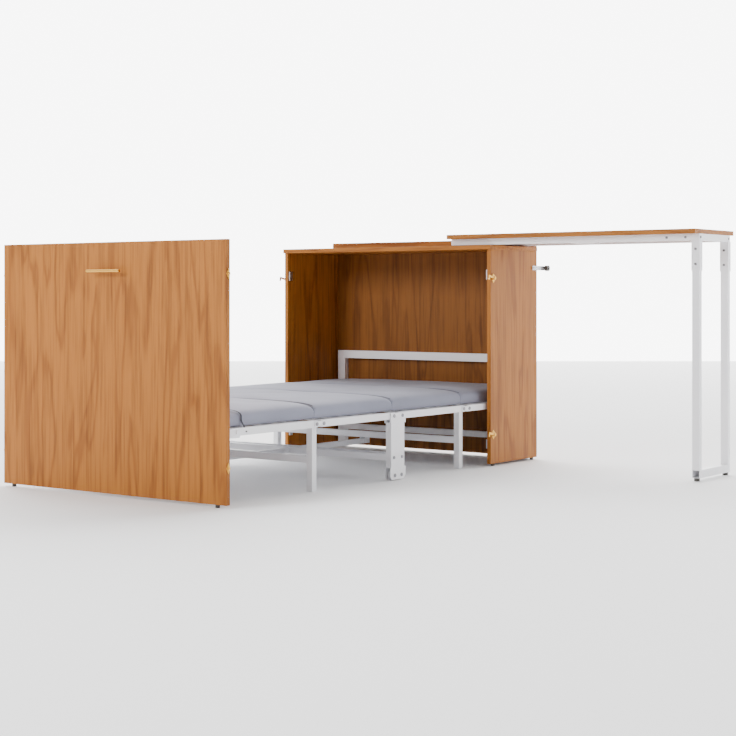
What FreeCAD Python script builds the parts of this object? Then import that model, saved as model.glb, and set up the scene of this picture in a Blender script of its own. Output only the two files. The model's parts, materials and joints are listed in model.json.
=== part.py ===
import FreeCAD
import Part
import os

V = FreeCAD.Vector

# Cabinet, millimetres; X across, Y into the cabinet, Z up
CAB_HALF = 546
PANEL = 18
CAB_DEPTH = 370
CAB_BOTTOM = 10
CAB_TOP = 890
BACK_THICK = 5
TOP_HALF = 548
TOP_FRONT = -10
TOP_Z = CAB_TOP + PANEL
UPSTAND_TOP = 943
FOOT_R = 8
HOOK_Y = 19
HOOK_HEIGHTS = (130, 772)
CATCHES = ((72, 110), (767, 807))

# Folding bed: pivots along Y, all at one height
PIVOT_Z = 244.5
HEAD_Y = 314
SECTIONS = (
    ("outer_head", -116, 314),
    ("inner_head", -586, -156),
    ("inner_foot", -1070, -640),
    ("outer_foot", -1540, -1110),
)
RAIL_IN = 493
RAIL_OUT = 513
RAIL_Z = (232, 257)
RAIL_END = 11
PIN_R = 4
HOLE_R = 4.05
LOOSE_R = 4
SLAT = 40
SLAT_THICK = 7
SLATS = 5
WALL = 1.5
LEG_YS = {"leg_a": -136, "leg_b": -1090}
LEG_X = (463.5, 488.5)
LEG_SQ = 25
CENTRE_Y = -613
CENTRE_POST = 85
CASTER_Z = 19
CASTER_R = 19
CASTER_DY = 21.5
LINK_Z = 87
LINKS = {"link_head": (-556, -126), "link_foot": (-1100, -670)}
MATTRESS_HALF = 495
MATTRESS_Z = (258, 328)
SEAMS = (-1575, -1090, -613, -136, 330)

# Door
DOOR_FRONT = -1626
DOOR_BACK = -1608
DOOR_TOP = 888
HANDLE_Y = -1655
HANDLE_Z = 787

# Desk
DESK_X = (341, 1461)
DESK_Y = (-20, 330)
DESK_Z = (935, 953)
DESK_RAIL_Z = 910
DESK_RAILS = ((18, 38), (275, 295))
DESK_LEG_X = 1431


def box(x0, x1, y0, y1, z0, z1):
    low = V(min(x0, x1), min(y0, y1), min(z0, z1))
    return Part.makeBox(abs(x1 - x0), abs(y1 - y0), abs(z1 - z0), low)


def eased(shape, radius):
    return shape.makeFillet(radius, shape.Edges)


def rod_x(x0, x1, y, z, radius):
    return Part.makeCylinder(radius, abs(x1 - x0), V(min(x0, x1), y, z), V(1, 0, 0))


def rod_y(x, y0, y1, z, radius):
    return Part.makeCylinder(radius, y1 - y0, V(x, y0, z), V(0, 1, 0))


def rod_z(x, y, z0, z1, radius):
    return Part.makeCylinder(radius, z1 - z0, V(x, y, z0))


def tube(x0, x1, y0, y1, z0, z1, along):
    """Box section with its bore along one axis, open at both ends."""
    outer = box(x0, x1, y0, y1, z0, z1)
    low = [min(x0, x1), min(y0, y1), min(z0, z1)]
    high = [max(x0, x1), max(y0, y1), max(z0, z1)]
    for axis in range(3):
        step = -WALL if axis == along else WALL
        low[axis] += step
        high[axis] -= step
    return outer.cut(box(low[0], high[0], low[1], high[1], low[2], high[2]))


def diamond(x0, x1, y, z, half_y, half_z):
    points = [V(x0, y - half_y, z), V(x0, y, z + half_z), V(x0, y + half_y, z), V(x0, y, z - half_z)]
    face = Part.Face(Part.makePolygon(points + points[:1]))
    return face.extrude(V(x1 - x0, 0, 0))


def cabinet(nodes):
    for name, side in (("right_side_panel", 1), ("left_side_panel", -1)):
        inner = CAB_HALF - PANEL
        panel = box(side * inner, side * CAB_HALF, 0, CAB_DEPTH, CAB_BOTTOM, CAB_TOP)
        nodes[name] = [eased(panel, 1)]
    nodes["top_panel"] = [eased(box(-TOP_HALF, TOP_HALF, TOP_FRONT, CAB_DEPTH, CAB_TOP, TOP_Z), 1.5)]
    inner = CAB_HALF - PANEL
    nodes["back_panel"] = [box(-inner, inner, CAB_DEPTH - BACK_THICK, CAB_DEPTH, CAB_BOTTOM, CAB_TOP)]
    upstand = box(-CAB_HALF, CAB_HALF, CAB_DEPTH - PANEL, CAB_DEPTH, TOP_Z, UPSTAND_TOP)
    nodes["rear_upstand"] = [eased(upstand, 1)]
    feet = []
    for side in (1, -1):
        for y in (30, 340):
            feet.append(rod_z(side * (CAB_HALF - PANEL / 2), y, 0, CAB_BOTTOM, FOOT_R))
    nodes["cabinet_feet"] = feet


def cabinet_hardware(nodes):
    plates = []
    for side in (1, -1):
        for z in HOOK_HEIGHTS:
            plate = diamond(side * CAB_HALF, side * (CAB_HALF + 2), HOOK_Y, z, 19, 19)
            boss = rod_x(side * 548, side * 552, HOOK_Y, z, 6)
            pin = rod_x(side * 552, side * 555.3, HOOK_Y, z, PIN_R)
            head = rod_x(side * 555.3, side * 557, HOOK_Y, z, 7)
            plates.append(plate.fuse([boss, pin, head]))
            level = "upper" if z > 400 else "lower"
            hand = "right" if side > 0 else "left"
            nodes["hook_arm_%s_%s" % (hand, level)] = [hook_arm(side, z)]
    nodes["hook_plates"] = plates
    catches = []
    for side in (1, -1):
        for low, high in CATCHES:
            catches.append(eased(box(side * 520, side * 528, 5, 25, low, high), 1))
    nodes["panel_catches"] = catches
    pads = []
    for y0, y1 in DESK_RAILS:
        pads.append(box(350, 540, y0, y1, TOP_Z, DESK_RAIL_Z - 0.3))
    nodes["desk_guides"] = pads
    strap = box(546, 549, 330, 440, 809, 827).fuse(rod_x(546, 549, 440, 818, 9))
    knob = rod_x(549, 563, 440, 818, 12)
    bore = rod_x(540, 570, 440, 818, 3.2)
    nodes["wall_strap"] = [strap.cut(bore), rod_x(549, 551, 345, 818, 5)]
    nodes["wall_knob"] = [knob.cut(bore)]


def hook_arm(side, z):
    """Flat hook that swings on the boss, its turned-down tip to the front."""
    x0 = side * 552.2
    x1 = side * 555
    eye = rod_x(x0, x1, HOOK_Y, z, 8)
    bar = box(x0, x1, -25, HOOK_Y, z - 4, z + 4)
    tip = box(x0, x1, -25, -18, z - 15, z - 3)
    arm = eye.fuse([bar, tip])
    arm = arm.cut(rod_x(side * 551, side * 556, HOOK_Y, z, HOLE_R))
    arm.rotate(V(0, HOOK_Y, z), V(1, 0, 0), -12)
    return arm


def frame_bracket(side, base_y, ear_y, pivot_y):
    """U bracket with its pin, which carries a rail end."""
    base = box(side * 488, side * 518, base_y[0], base_y[1], 226, 257)
    ears = []
    for x0, x1 in ((488, 491.5), (514.5, 518)):
        ears.append(box(side * x0, side * x1, ear_y[0], ear_y[1], 226, 257))
    pin = rod_x(side * 488, side * 518, pivot_y, PIVOT_Z, PIN_R)
    head = rod_x(side * 518, side * 521, pivot_y, PIVOT_Z, 7)
    return [base] + ears + [pin.fuse(head)]


def head_frame(nodes):
    parts = []
    for side in (1, -1):
        parts.append(tube(side * 465, side * 505, 340, 365, 0, 446, 2))
    parts.append(tube(-465, 465, 340, 365, 411, 446, 0))
    parts.append(tube(-465, 465, 340, 365, 82, 107, 0))
    brackets = frame_bracket(1, (336, 340), (300, 336), HEAD_Y)
    brackets += frame_bracket(-1, (336, 340), (300, 336), HEAD_Y)
    nodes["head_frame"] = parts + brackets


def section(nodes, name, low, high, ends):
    rails = []
    for side in (1, -1):
        rail = tube(side * RAIL_IN, side * RAIL_OUT, low - RAIL_END, high + RAIL_END, RAIL_Z[0], RAIL_Z[1], 1)
        for y in (low, high):
            rail = rail.cut(rod_x(side * (RAIL_IN - 5), side * (RAIL_OUT + 5), y, PIVOT_Z, HOLE_R))
        rails.append(rail)
    nodes[name + "_rails"] = rails
    slats = []
    first = low + 55
    pitch = (high - low - 110) / (SLATS - 1)
    for index in range(SLATS):
        y = first + index * pitch
        slat = box(-RAIL_IN, RAIL_IN, y - SLAT / 2, y + SLAT / 2, RAIL_Z[1] - SLAT_THICK, RAIL_Z[1])
        slats.append(slat)
    nodes[name + "_slats"] = slats
    body = box(-MATTRESS_HALF, MATTRESS_HALF, ends[0] + 0.5, ends[1] - 0.5, MATTRESS_Z[0], MATTRESS_Z[1])
    nodes[name + "_mattress"] = [eased(body, 12)]


def pivot_pin(side, y):
    pin = rod_x(side * 488.5, side * 517, y, PIVOT_Z, PIN_R)
    return pin.fuse(rod_x(side * 517, side * 519.5, y, PIVOT_Z, 6.5))


def pin_clear(side, y):
    return rod_x(side * 488, side * 517, y, PIVOT_Z, PIN_R)


def leg(nodes, name, y, link_end):
    posts = []
    plates = []
    pins = []
    for side in (1, -1):
        posts.append(tube(side * LEG_X[0], side * LEG_X[1], y - LEG_SQ / 2, y + LEG_SQ / 2, 0, 250, 2))
        for x0, x1 in ((488.5, 492), (514, 517)):
            plates.append(eased(box(side * x0, side * x1, y - 31, y + 31, 235, 254), 1))
        for step in (-20, 20):
            pins.append(pivot_pin(side, y + step))
            plates = [plate.cut(pin_clear(side, y + step)) for plate in plates]
    nodes[name + "_posts"] = posts
    nodes[name + "_hinge_plates"] = plates
    nodes[name + "_pins"] = pins
    cross = tube(-LEG_X[0], LEG_X[0], y - 12.5, y + 12.5, 102.5, 127.5, 0)
    nodes[name + "_cross_tube"] = [cross] + link_bracket(link_end, y - 10, y + 10, 102.5)


def link_bracket(pivot_y, y0, y1, top):
    low = min(y0, pivot_y - 9)
    high = max(y1, pivot_y + 9)
    parts = []
    for x0, x1 in ((-15, -12), (12, 15)):
        parts.append(box(x0, x1, low, high, LINK_Z - 9, top))
    parts.append(rod_x(-15, 15, pivot_y, LINK_Z, 3))
    return parts


def centre(nodes):
    posts = []
    saddles = []
    forks = []
    bolts = []
    axles = []
    half = CENTRE_POST / 2
    for side in (1, -1):
        posts.append(tube(side * 490.5, side * 515.5, CENTRE_Y - half, CENTRE_Y + half, 51, 217, 2))
        saddles.append(box(side * 488, side * 518, CENTRE_Y - 48, CENTRE_Y + 48, 217, 220))
        for x0, x1 in ((488, 491.5), (514.5, 518)):
            plate = box(side * x0, side * x1, CENTRE_Y - 48, CENTRE_Y + 48, 220, 256)
            for y in (-640, -586):
                plate = plate.cut(rod_x(side * 487, side * 519, y, PIVOT_Z, PIN_R))
            saddles.append(plate)
        for y in (-640, -586):
            bolts.append(saddle_pin(side, y))
        fork, pair = caster_fork(side)
        forks += fork
        axles += pair
        for step in (-26, 26):
            bolts.append(rod_x(side * 515.5, side * 518.5, CENTRE_Y + step, LINK_Z, 6))
    nodes["centre_posts"] = posts
    nodes["centre_saddles"] = saddles
    nodes["caster_forks"] = forks
    nodes["caster_axles"] = axles
    nodes["centre_bolts"] = bolts
    tubes = []
    for step in (-26, 26):
        y = CENTRE_Y + step
        tubes.append(tube(-490.5, 490.5, y - 12.5, y + 12.5, 74.5, 99.5, 0))
    ears = []
    for pivot, face in ((-556, -574.5), (-670, -651.5)):
        for x0, x1 in ((-15, -12), (12, 15)):
            ears.append(box(x0, x1, face, pivot + (9 if pivot > face else -9), LINK_Z - 9, LINK_Z + 9))
        ears.append(rod_x(-17, 17, pivot, LINK_Z, PIN_R))
    nodes["centre_cross_tubes"] = tubes + ears


def saddle_pin(side, y):
    pin = rod_x(side * 488, side * 518, y, PIVOT_Z, PIN_R)
    return pin.fuse(rod_x(side * 518, side * 520.5, y, PIVOT_Z, 6.5))


def caster_fork(side):
    axles = []
    parts = [box(side * 489, side * 517, CENTRE_Y - 49, CENTRE_Y + 49, 48, 51)]
    for x0, x1 in ((489, 492), (514, 517)):
        points = [
            V(side * x0, CENTRE_Y - 49, 48),
            V(side * x0, CENTRE_Y + 49, 48),
            V(side * x0, CENTRE_Y + 49, 14),
            V(side * x0, CENTRE_Y + 38, 3),
            V(side * x0, CENTRE_Y - 38, 3),
            V(side * x0, CENTRE_Y - 49, 14),
        ]
        face = Part.Face(Part.makePolygon(points + points[:1]))
        parts.append(face.extrude(V(side * (x1 - x0), 0, 0)))
    for step in (-CASTER_DY, CASTER_DY):
        axle = rod_x(side * 489, side * 517, CENTRE_Y + step, CASTER_Z, PIN_R)
        parts = [piece.cut(axle) for piece in parts]
        axles.append(axle.fuse(rod_x(side * 517, side * 519, CENTRE_Y + step, CASTER_Z, 7)))
    return parts, axles


def casters(nodes):
    for hand, side in (("right", 1), ("left", -1)):
        for end, step in (("front", -CASTER_DY), ("rear", CASTER_DY)):
            wheel = rod_x(side * 494, side * 512, CENTRE_Y + step, CASTER_Z, CASTER_R)
            wheel = wheel.makeFillet(3, [wheel.Edges[0], wheel.Edges[2]])
            bore = rod_x(side * 490, side * 516, CENTRE_Y + step, CASTER_Z, HOLE_R)
            nodes["caster_wheel_%s_%s" % (hand, end)] = [wheel.cut(bore)]


def link(nodes, name, low, high, tight):
    bar = tube(-10, 10, low - 9, high + 9, LINK_Z - 10, LINK_Z + 10, 1)
    for y in (low, high):
        radius = HOLE_R if y == tight else LOOSE_R
        bar = bar.cut(rod_x(-20, 20, y, LINK_Z, radius))
    nodes[name] = [bar]


def foot_frame(nodes):
    parts = []
    for side in (1, -1):
        parts.append(tube(side * 465, side * 505, DOOR_BACK, -1583, 60, 300, 2))
    for z in (60, 275):
        parts.append(tube(-465, 465, DOOR_BACK, -1583, z, z + 25, 0))
    brackets = frame_bracket(1, (-1583, -1579), (-1579, -1526), -1540)
    brackets += frame_bracket(-1, (-1583, -1579), (-1579, -1526), -1540)
    nodes["foot_frame"] = parts + brackets


def door(nodes):
    panel = box(-CAB_HALF, CAB_HALF, DOOR_FRONT, DOOR_BACK, CAB_BOTTOM, DOOR_TOP)
    nodes["door_panel"] = [eased(panel, 1)]
    bar = rod_x(-80, 80, HANDLE_Y, HANDLE_Z, 5)
    posts = [rod_y(x, HANDLE_Y, DOOR_FRONT, HANDLE_Z, 4) for x in (-48, 48)]
    nodes["door_handle"] = [bar.fuse(posts)]
    eyes = []
    for side in (1, -1):
        for z in (132, 774):
            plate = diamond(side * 546, side * 548, -1617, z, 9, 18.5)
            eyes.append(plate.fuse(rod_x(side * 548, side * 551.5, -1617, z, 5)))
    nodes["door_eyes"] = eyes
    nodes["door_feet"] = [rod_z(x, -1617, 0, CAB_BOTTOM, FOOT_R) for x in (-500, 500)]


def desk(nodes):
    nodes["desk_board"] = [eased(box(DESK_X[0], DESK_X[1], DESK_Y[0], DESK_Y[1], DESK_Z[0], DESK_Z[1]), 1.5)]
    rails = []
    legs = []
    sleeves = []
    bolts = []
    feet = []
    for y0, y1 in DESK_RAILS:
        middle = (y0 + y1) / 2
        rails.append(tube(DESK_X[0], DESK_LEG_X, y0, y1, DESK_RAIL_Z, DESK_Z[0], 0))
        legs.append(tube(DESK_LEG_X, DESK_X[1], y0, y1, 42, DESK_Z[0], 2))
        outer = box(DESK_LEG_X - 2, DESK_X[1] + 2, y0 - 2, y1 + 2, 795, DESK_RAIL_Z)
        sleeves.append(outer.cut(box(DESK_LEG_X, DESK_X[1], y0, y1, 790, 915)))
        for z in (820, 877):
            bolts.append(rod_y(1446, y0 - 5, y0 - 2, z, 4.5))
        feet.append(rod_z(1446, middle, 0, 12, 11))
        bolts.append(rod_x(1461, 1463, middle, 922, 4.5))
    for x in (1326, 1404):
        bolts.append(rod_y(x, 15, 18, 922, 4.5))
    nodes["desk_side_rails"] = rails
    nodes["desk_leg_sleeves"] = sleeves
    nodes["desk_bolts"] = bolts
    nodes["desk_feet"] = feet
    legs.append(tube(DESK_LEG_X, DESK_X[1], 18, 295, 12, 42, 1))
    nodes["desk_legs"] = legs
    bars = []
    for x0, x1 in ((341, 361), (880, 900), (DESK_LEG_X, DESK_X[1])):
        bars.append(tube(x0, x1, 38, 275, DESK_RAIL_Z, DESK_Z[0], 1))
    nodes["desk_cross_bars"] = bars


def build():
    nodes = {}
    cabinet(nodes)
    cabinet_hardware(nodes)
    head_frame(nodes)
    for index, (name, low, high) in enumerate(reversed(SECTIONS)):
        section(nodes, name, low, high, SEAMS[index:index + 2])
    leg(nodes, "leg_a", LEG_YS["leg_a"], LINKS["link_head"][1])
    leg(nodes, "leg_b", LEG_YS["leg_b"], LINKS["link_foot"][0])
    centre(nodes)
    casters(nodes)
    link(nodes, "link_head", -556, -126, -556)
    link(nodes, "link_foot", -1100, -670, -670)
    foot_frame(nodes)
    door(nodes)
    desk(nodes)
    return nodes


def main():
    nodes = build()
    shapes = {name: Part.makeCompound(solids) for name, solids in nodes.items()}
    whole = Part.makeCompound(list(shapes.values())).BoundBox
    shift = V(-whole.Center.x, -whole.Center.y, 0)
    os.makedirs("parts", exist_ok=True)
    for name, shape in shapes.items():
        shape.translate(shift)
        shape.exportStep("parts/%s.step" % name)
        print(name, shape.isValid(), len(shape.Solids))
    print("shift", shift, "size", whole.XLength, whole.YLength, whole.ZLength, len(shapes))


main()
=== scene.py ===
import json
import math

import bpy
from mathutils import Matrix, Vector


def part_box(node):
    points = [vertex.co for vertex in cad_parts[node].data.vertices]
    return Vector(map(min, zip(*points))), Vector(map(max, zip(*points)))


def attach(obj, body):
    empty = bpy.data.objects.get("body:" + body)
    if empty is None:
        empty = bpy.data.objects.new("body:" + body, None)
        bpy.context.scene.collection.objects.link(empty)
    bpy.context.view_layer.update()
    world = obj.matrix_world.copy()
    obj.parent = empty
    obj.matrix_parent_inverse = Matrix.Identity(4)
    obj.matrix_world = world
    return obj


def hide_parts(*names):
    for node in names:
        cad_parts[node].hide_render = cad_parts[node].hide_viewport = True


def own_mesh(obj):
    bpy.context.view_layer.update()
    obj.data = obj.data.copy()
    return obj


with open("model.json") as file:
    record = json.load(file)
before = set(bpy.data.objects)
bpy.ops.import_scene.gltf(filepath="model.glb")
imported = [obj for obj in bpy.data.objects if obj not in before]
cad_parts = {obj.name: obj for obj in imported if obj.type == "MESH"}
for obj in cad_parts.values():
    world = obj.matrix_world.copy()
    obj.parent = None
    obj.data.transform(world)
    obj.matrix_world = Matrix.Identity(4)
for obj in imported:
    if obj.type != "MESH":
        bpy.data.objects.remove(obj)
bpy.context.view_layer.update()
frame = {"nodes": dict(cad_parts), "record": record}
NODES = frame["nodes"]

CAMERA_X, CAMERA_Y, CAMERA_Z = 3.6092, -4.9856, 0.705
CAMERA_TURN = math.radians(36.54)
LENS = 78.60
SHIFT_Y = -0.0999
PAD_HALF = 0.4872


def socket(shader, name, value):
    if name in shader.inputs:
        shader.inputs[name].default_value = value


def new_material(name, color, rough, metal=0.0):
    material = bpy.data.materials.new(name)
    material.use_nodes = True
    shader = material.node_tree.nodes["Principled BSDF"]
    socket(shader, "Base Color", (*color, 1))
    socket(shader, "Roughness", rough)
    socket(shader, "Metallic", metal)
    return material, material.node_tree, shader


def add_bump(tree, shader, height, strength, distance):
    bump = tree.nodes.new("ShaderNodeBump")
    bump.inputs["Strength"].default_value = strength
    bump.inputs["Distance"].default_value = distance
    tree.links.new(height, bump.inputs["Height"])
    tree.links.new(bump.outputs["Normal"], shader.inputs["Normal"])


def stretched(tree, scale, shift):
    coords = tree.nodes.new("ShaderNodeTexCoord")
    mapping = tree.nodes.new("ShaderNodeMapping")
    mapping.inputs["Scale"].default_value = scale
    mapping.inputs["Location"].default_value = shift
    tree.links.new(coords.outputs["Object"], mapping.inputs["Vector"])
    return mapping.outputs["Vector"]


def noise(tree, vector, scale, detail, distortion=0.0):
    node = tree.nodes.new("ShaderNodeTexNoise")
    node.inputs["Scale"].default_value = scale
    node.inputs["Detail"].default_value = detail
    node.inputs["Distortion"].default_value = distortion
    tree.links.new(vector, node.inputs["Vector"])
    return node.outputs["Fac"]


def ramp(tree, factor, stops):
    node = tree.nodes.new("ShaderNodeValToRGB")
    elements = node.color_ramp.elements
    elements[0].position, elements[0].color = stops[0][0], (*stops[0][1], 1)
    elements[1].position, elements[1].color = stops[-1][0], (*stops[-1][1], 1)
    for position, color in stops[1:-1]:
        elements.new(position).color = (*color, 1)
    tree.links.new(factor, node.inputs["Fac"])
    return node.outputs["Color"]


def mixed(tree, first, second, factor, mode):
    node = tree.nodes.new("ShaderNodeMix")
    node.data_type = "RGBA"
    node.blend_type = mode
    node.inputs["Factor"].default_value = factor
    tree.links.new(first, node.inputs["A"])
    tree.links.new(second, node.inputs["B"])
    return node.outputs["Result"]


def oak(name, grain, shift, shade=1.0):
    """Oak with its grain along one axis: broad cathedral figure, streaks and fine pores. A shade below 1 darkens
    all tones as painted shade.
    """
    material, tree, shader = new_material(name, (0.4, 0.16, 0.03), 0.55)
    socket(shader, "Specular IOR Level", 0.22)
    broad = [3.4, 3.4, 3.4]
    fine = [60.0, 60.0, 60.0]
    broad[grain] = 0.42
    fine[grain] = 2.0
    figure = noise(tree, stretched(tree, broad, shift), 2.0, 3.0, 0.5)
    rings = tree.nodes.new("ShaderNodeMath")
    rings.operation = "MULTIPLY"
    rings.inputs[1].default_value = 34.0
    tree.links.new(figure, rings.inputs[0])
    wave = tree.nodes.new("ShaderNodeMath")
    wave.operation = "SINE"
    tree.links.new(rings.outputs[0], wave.inputs[0])
    tones = [(0.0, (0.37, 0.132, 0.019)), (0.7, (0.34, 0.119, 0.016)), (1.0, (0.27, 0.088, 0.011))]
    tones = [(position, tuple(shade * c for c in color)) for position, color in tones]
    cathedral = ramp(tree, wave.outputs[0], tones)
    pores = noise(tree, stretched(tree, fine, shift), 2.0, 4.0)
    streaks = ramp(tree, pores, [(0.34, (0.70, 0.66, 0.60)), (0.52, (1.0, 1.0, 1.0)), (0.8, (1.12, 1.12, 1.12))])
    color = mixed(tree, cathedral, streaks, 0.85, "MULTIPLY")
    tree.links.new(color, shader.inputs["Base Color"])
    add_bump(tree, shader, pores, 0.12, 0.0006)
    return material


def plain(name, color, rough, metal, grain_scale, strength):
    """Solid colour with a fine surface texture."""
    material, tree, shader = new_material(name, color, rough, metal)
    texture = noise(tree, stretched(tree, (1, 1, 1), (0, 0, 0)), grain_scale, 2.0)
    add_bump(tree, shader, texture, strength, 0.0004)
    return material


def fabric(name, color):
    """Fine plain weave with a slight mottling."""
    material, tree, shader = new_material(name, color, 0.9)
    place = stretched(tree, (1, 1, 1), (0, 0, 0))
    mottle = noise(tree, place, 6.0, 3.0)
    low = tuple(c * 0.93 for c in color)
    high = tuple(c * 1.06 for c in color)
    tree.links.new(ramp(tree, mottle, [(0.3, low), (0.7, high)]), shader.inputs["Base Color"])
    weave = noise(tree, place, 900.0, 1.0)
    add_bump(tree, shader, weave, 0.25, 0.0005)
    socket(shader, "Sheen Weight", 0.15)
    return material


def dress(material, *names):
    for name in names:
        piece = NODES[name]
        piece.data.materials.clear()
        piece.data.materials.append(material)


OAK_UP = oak("oak_upright", 2, (0.7, 0.0, 0.3))
# The back panel's oak is scaled to 0.58 of the normal tones: painted shade for the shaded inside of the cabinet.
OAK_BACK_PAINTED_SHADE = oak("oak_back_painted_shade", 2, (4.1, 0.6, 1.3), 0.58)
OAK_FLAT = oak("oak_flat", 0, (1.7, 2.0, 0.3))
WHITE = plain("powder_coat", (0.86, 0.86, 0.89), 0.42, 0.0, 700.0, 0.15)
BRASS = plain("satin_brass", (0.72, 0.40, 0.08), 0.34, 1.0, 500.0, 0.08)
ZINC = plain("zinc_plate", (0.55, 0.55, 0.57), 0.35, 1.0, 400.0, 0.12)
PIN = plain("pin_steel", (0.28, 0.28, 0.30), 0.45, 0.6, 400.0, 0.1)
BOLT = plain("dark_bolt", (0.14, 0.14, 0.15), 0.4, 0.8, 400.0, 0.1)
DARK = plain("dark_plastic", (0.05, 0.045, 0.04), 0.5, 0.0, 300.0, 0.15)
WHEEL = plain("wheel_grey", (0.62, 0.62, 0.65), 0.45, 0.0, 300.0, 0.1)
GREY = fabric("grey_cover", (0.24, 0.25, 0.32))
SEAM = fabric("seam_thread", (0.06, 0.06, 0.08))
STRAP = fabric("strap_web", (0.03, 0.03, 0.045))

MATERIAL_OF = {
    "white_coat": WHITE, "brass": BRASS, "zinc": ZINC, "bolt_steel": BOLT, "oak": OAK_UP,
    "dark_plastic": DARK, "caster_grey": WHEEL, "grey_fabric": GREY,
}
for entry in frame["record"]["subparts"]:
    dress(MATERIAL_OF[entry["material_slot"]], entry["node"])
dress(OAK_FLAT, "top_panel", "rear_upstand", "desk_board")
# The back panel gets the darkened oak, which is painted shade.
dress(OAK_BACK_PAINTED_SHADE, "back_panel")
dress(PIN, "leg_a_pins", "leg_b_pins", "caster_axles", "centre_bolts")

for piece in NODES.values():
    for polygon in piece.data.polygons:
        polygon.use_smooth = True
    piece.data.set_sharp_from_angle(angle=math.radians(35))


def new_mesh(name, verts, faces, material):
    data = bpy.data.meshes.new(name)
    data.from_pydata(verts, [], faces)
    data.materials.append(material)
    piece = bpy.data.objects.new(name, data)
    bpy.context.scene.collection.objects.link(piece)
    for polygon in data.polygons:
        polygon.use_smooth = True
    return piece


def crown(t, power):
    """1 in the middle of a pad and 0 at its edges, with t from -1 to 1."""
    return (1 - min(1.0, abs(t)) ** power) ** (1 / power)


def grid_shell(name, low, high, columns, rows, top, bottom, material):
    """A closed pad: an upper and a lower grid of points joined round the edge."""
    verts = []
    for height in (top, bottom):
        for row in range(rows + 1):
            v = -math.cos(math.pi * row / rows)
            for column in range(columns + 1):
                u = -math.cos(math.pi * column / columns)
                x = (low.x + high.x) / 2 + u * (high.x - low.x) / 2
                y = (low.y + high.y) / 2 + v * (high.y - low.y) / 2
                verts.append((x, y, height(u, v)))
    width = columns + 1
    layer = width * (rows + 1)
    faces = []
    for row in range(rows):
        for column in range(columns):
            a = row * width + column
            quad = (a, a + 1, a + 1 + width, a + width)
            faces.append(quad)
            faces.append(tuple(layer + i for i in reversed(quad)))
    rim = [column for column in range(width)]
    rim += [row * width + columns for row in range(1, rows + 1)]
    rim += [rows * width + column for column in range(columns - 1, -1, -1)]
    rim += [row * width for row in range(rows - 1, 0, -1)]
    for index, a in enumerate(rim):
        b = rim[(index + 1) % len(rim)]
        faces.append((b, a, layer + a, layer + b))
    return new_mesh(name, verts, faces, material)


def mattress(section, seed, front_open, back_open):
    """One foam section: domed across, dipping to a seam where it meets its neighbour."""
    node = section + "_mattress"
    low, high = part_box(node)
    middle = (low.x + high.x) / 2
    low.x, high.x = middle - PAD_HALF, middle + PAD_HALF
    thick = high.z - low.z

    def top(u, v):
        side = crown(u, 5)
        end = crown(v, 9 if (v < 0 and front_open) or (v > 0 and back_open) else 5)
        ripple = 0.0022 * math.sin(5.1 * u + seed) * math.sin(3.3 * v + 2 * seed)
        ripple += 0.0012 * math.sin(11.0 * u - 2 * seed) * math.cos(7.0 * v + seed)
        edge = min(1.0, 4 * (1 - abs(u)), 4 * (1 - abs(v)))
        return low.z + thick * (0.30 + 0.70 * side * end) + ripple * edge - 0.003

    def bottom(u, v):
        return low.z + 0.12 * thick * (1 - crown(u, 8) * crown(v, 8)) + 0.0005

    pad = grid_shell(section + "_pad", low, high, 56, 36, top, bottom, GREY)
    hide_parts(node)
    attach(pad, section)
    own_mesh(pad)
    return top, low, high


def seam(section, top, low, high, v):
    """A thin stitched line along the pad's end, over its domed face."""
    verts = []
    count = 70
    for index in range(count + 1):
        u = -0.995 + 1.99 * index / count
        x = (low.x + high.x) / 2 + u * (high.x - low.x) / 2
        for offset in (v, v - math.copysign(0.016, v)):
            y = (low.y + high.y) / 2 + offset * (high.y - low.y) / 2
            verts.append((x, y, top(u, offset) + 0.0006))
    faces = [(2 * i, 2 * i + 1, 2 * i + 3, 2 * i + 2) for i in range(count)]
    line = new_mesh(section + ("_seam_rear" if v > 0 else "_seam_front"), verts, faces, SEAM)
    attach(line, section)
    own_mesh(line)


PADS = {}
for index, section in enumerate(("outer_head", "inner_head", "inner_foot", "outer_foot")):
    PADS[section] = mattress(section, 1.3 * index + 0.4, section != "outer_foot", section != "outer_head")
seam("outer_head", *PADS["outer_head"], -0.97)
seam("inner_head", *PADS["inner_head"], -0.97)
seam("inner_foot", *PADS["inner_foot"], -0.97)


def strap():
    """Narrow web over the foot section, fixed to the rails near its front pivot."""
    top, low, high = PADS["outer_foot"]
    rail_low, rail_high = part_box("outer_foot_rails")
    half_x = (high.x - low.x) / 2
    fixed = 0.604 - 1.489
    path = [(-1.0, rail_low.z + 0.010, rail_low.x - 0.003)]
    count = 90
    for index in range(count + 1):
        u = -math.cos(math.pi * index / count)
        path.append((u, None, (low.x + high.x) / 2 + u * (half_x + 0.004)))
    path.append((1.0, rail_high.z - 0.015, rail_high.x + 0.003))
    verts = []
    for u, z, x in path:
        lean = 0.055 * (1 - abs(u) ** 6)
        for half in (-0.004, 0.004):
            place = fixed + half - lean
            v = (place - (low.y + high.y) / 2) / ((high.y - low.y) / 2)
            height = top(u, v) + 0.003 if z is None else z
            verts.append((x, place, height))
    faces = [(2 * i, 2 * i + 1, 2 * i + 3, 2 * i + 2) for i in range(len(path) - 1)]
    web = new_mesh("foot_strap", verts, faces, STRAP)
    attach(web, "outer_foot")
    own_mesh(web)


strap()


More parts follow.
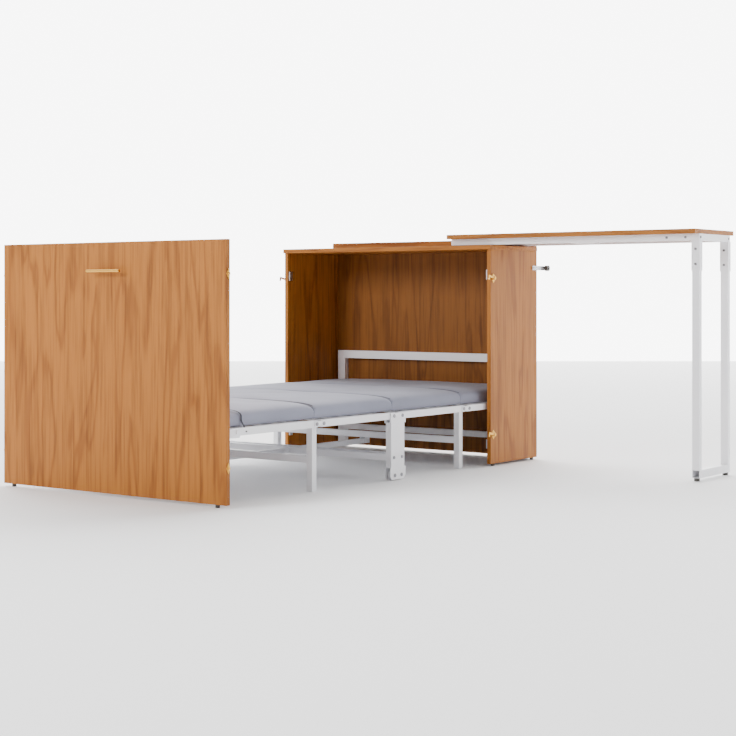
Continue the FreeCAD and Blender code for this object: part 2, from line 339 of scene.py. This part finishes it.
def area(name, place, target, size, energy):
    data = bpy.data.lights.new(name, "AREA")
    data.shape = "RECTANGLE"
    data.size = size
    data.size_y = size
    data.energy = energy
    lamp = bpy.data.objects.new(name, data)
    lamp.location = place
    lamp.rotation_euler = (Vector(target) - Vector(place)).to_track_quat("-Z", "Y").to_euler()
    bpy.context.scene.collection.objects.link(lamp)


def studio():
    bpy.ops.mesh.primitive_plane_add(size=60, location=(0, 0, -0.0005))
    floor = bpy.context.object
    floor.name = "floor"
    floor.data.materials.append(plain("floor_paint", (0.92, 0.92, 0.92), 0.9, 0.0, 40.0, 0.02))
    away = Vector((-math.sin(CAMERA_TURN), math.cos(CAMERA_TURN), 0))
    bpy.ops.mesh.primitive_plane_add(size=44, location=Vector((CAMERA_X, CAMERA_Y, 0)) + 17 * away)
    screen = bpy.context.object
    screen.name = "backdrop"
    screen.rotation_euler = (math.pi / 2, 0, CAMERA_TURN)
    glow = bpy.data.materials.new("backdrop_glow")
    glow.use_nodes = True
    shader = glow.node_tree.nodes["Principled BSDF"]
    socket(shader, "Base Color", (0, 0, 0, 1))
    socket(shader, "Emission Color", (1, 1, 1, 1))
    socket(shader, "Emission Strength", 8.0)
    screen.data.materials.append(glow)
    world = bpy.data.worlds.new("studio")
    world.use_nodes = True
    background = world.node_tree.nodes["Background"]
    background.inputs["Color"].default_value = (1, 1, 1, 1)
    background.inputs["Strength"].default_value = 0.5
    bpy.context.scene.world = world
    area("key", (-2.2, -6.2, 3.2), (0, 0, 0.4), 2.2, 350)
    area("fill", (5.4, 1.2, 2.6), (0, 0, 0.4), 2.2, 105)


def camera():
    data = bpy.data.cameras.new("camera")
    data.sensor_width = 36
    data.lens = LENS
    data.shift_y = SHIFT_Y
    data.clip_end = 100
    eye = bpy.data.objects.new("camera", data)
    eye.location = (CAMERA_X, CAMERA_Y, CAMERA_Z)
    eye.rotation_euler = (math.pi / 2, 0, CAMERA_TURN)
    bpy.context.scene.collection.objects.link(eye)
    bpy.context.scene.camera = eye


studio()
camera()
